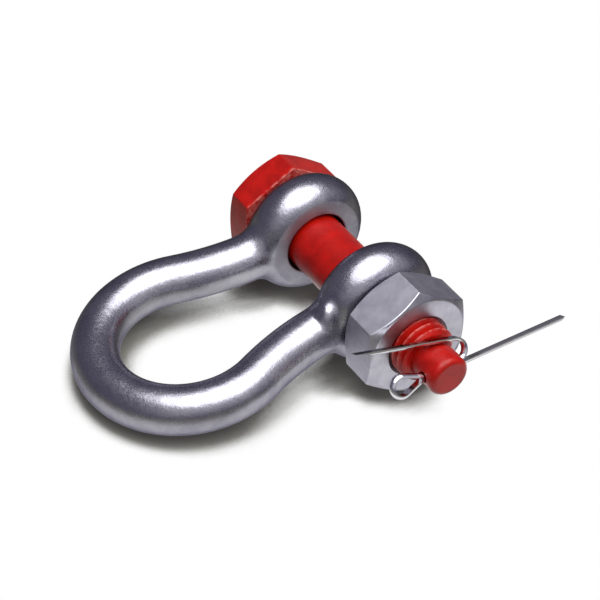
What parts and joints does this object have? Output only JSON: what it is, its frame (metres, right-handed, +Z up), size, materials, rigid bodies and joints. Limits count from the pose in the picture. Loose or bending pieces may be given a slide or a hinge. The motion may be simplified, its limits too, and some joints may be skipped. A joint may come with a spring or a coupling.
{
  "type": "bow shackle",
  "caption": "Forged bow shackle for joining chain, with a headed bolt through its two eyes, a nut on the bolt's threaded end and a split pin bent over the nose.",
  "frame": {"origin": "on the bolt's axis, midway between the two eyes of the bow", "axes": "+X along the bolt from its head to its nut, +Y away from the bow's crown, +Z up from the ground that the shackle lies on"},
  "size_m": [0.0823, 0.1113, 0.033],
  "materials": {
    "bow_steel": "hot-dip galvanised forged steel",
    "bolt_paint": "semi-gloss red paint on forged steel",
    "nut_steel": "satin zinc",
    "pin_wire": "bright drawn wire"
  },
  "bodies": {
    "bow": {"bow": "bow_steel"},
    "bolt": {"bolt": "bolt_paint", "split_pin": "pin_wire"},
    "nut": {"nut": "nut_steel"}
  },
  "joints": [
    {"name": "bolt_turn", "type": "hinge", "parent": "bow", "child": "bolt", "pos_m": [0, 0, 0], "axis": [-1, 0, 0], "range_deg": [-155, 670]},
    {"name": "nut_travel", "type": "slide", "parent": "bow", "child": "nut", "axis": [1, 0, 0], "range_m": [-0.001, 0.0043]}
  ],
  "couplings": [
    {"joint": "nut_travel", "follows": "bolt_turn", "m_per_rad": 0.00036765}
  ]
}
